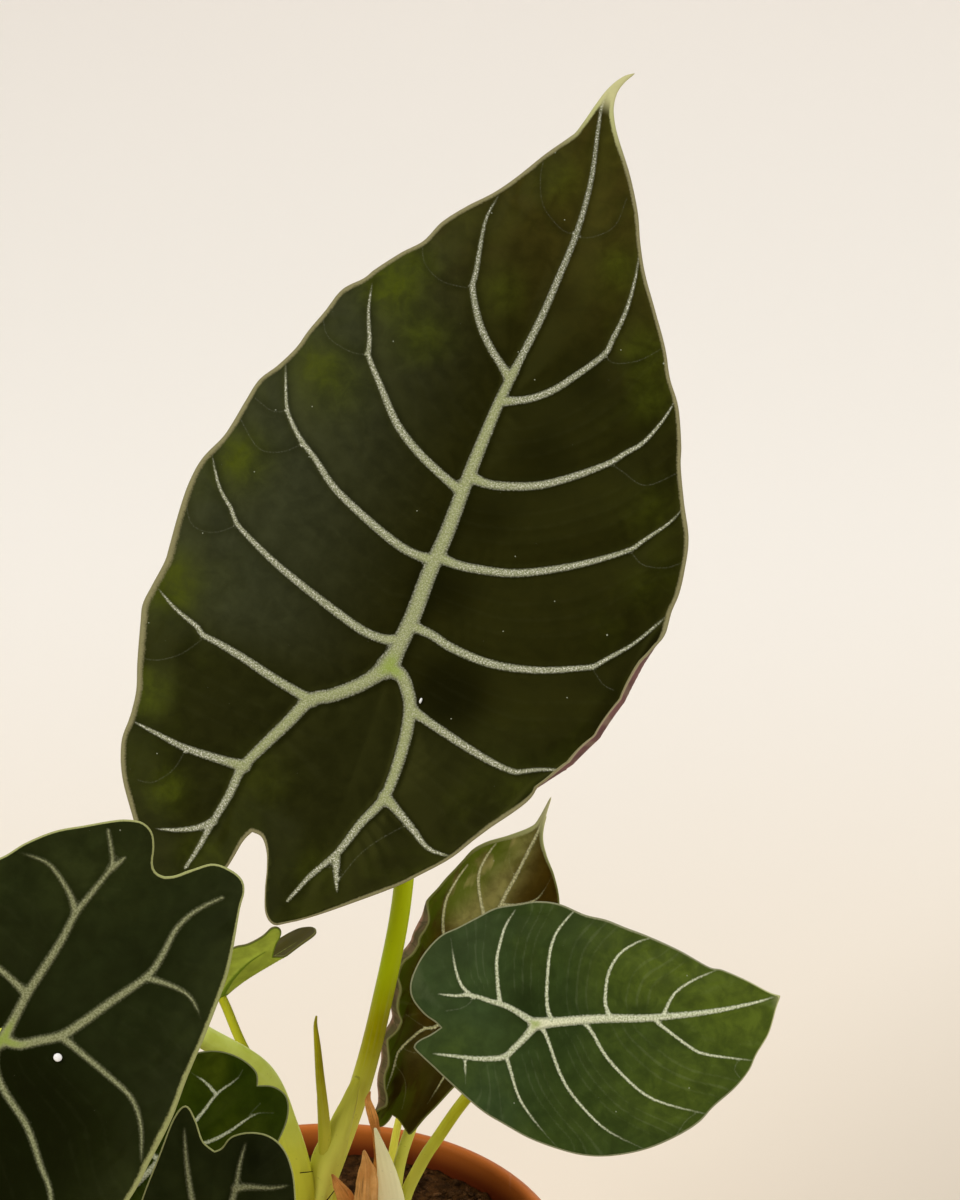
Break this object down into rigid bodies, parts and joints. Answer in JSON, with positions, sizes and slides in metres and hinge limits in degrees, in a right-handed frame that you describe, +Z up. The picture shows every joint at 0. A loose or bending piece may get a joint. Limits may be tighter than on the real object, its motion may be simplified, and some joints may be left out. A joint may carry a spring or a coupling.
{
  "type": "alocasia longiloba in pot",
  "caption": "Potted tropical foliage plant with pointed heart-shaped dark leaves, pale raised veins and green stalks, growing from soil in a round terracotta-coloured nursery pot",
  "frame": {"origin": "middle of the pot's flat foot, on the surface it stands on", "axes": "+Z up; +X to the right and +Y away from the viewer of the picture's side, which looks along +Y"},
  "size_m": [0.2773, 0.2146, 0.412],
  "materials": {
    "dark_leaf": "satin blackish green blade with silvery raised veins",
    "green_leaf": "satin deep green blade with silvery raised veins",
    "young_leaf": "satin olive and bronze blade with pale green veins",
    "petiole": "smooth yellow-green stalk",
    "new_shoot": "smooth yellow-green rolled leaf",
    "pale_sheath": "matte whitish green",
    "dry_sheath": "dry papery tan brown",
    "pot": "matte terracotta-coloured plastic",
    "soil": "dark brown potting soil"
  },
  "bodies": {
    "root": {"dry_curl": "dry_sheath", "dry_sheath_large": "dry_sheath", "dry_sheath_small": "dry_sheath", "leaf_curled": "green_leaf", "leaf_left": "dark_leaf", "leaf_low": "dark_leaf", "leaf_main": "dark_leaf", "leaf_right": "green_leaf", "leaf_small": "green_leaf", "leaf_young": "young_leaf", "new_leaf_spike": "new_shoot", "pale_sheath": "pale_sheath", "petiole_curled": "petiole", "petiole_left": "petiole", "petiole_low": "petiole", "petiole_main": "petiole", "petiole_right": "petiole", "petiole_small": "petiole", "petiole_young": "petiole", "pot": "pot", "second_shoot": "new_shoot", "soil": "soil"}
  },
  "joints": []
}
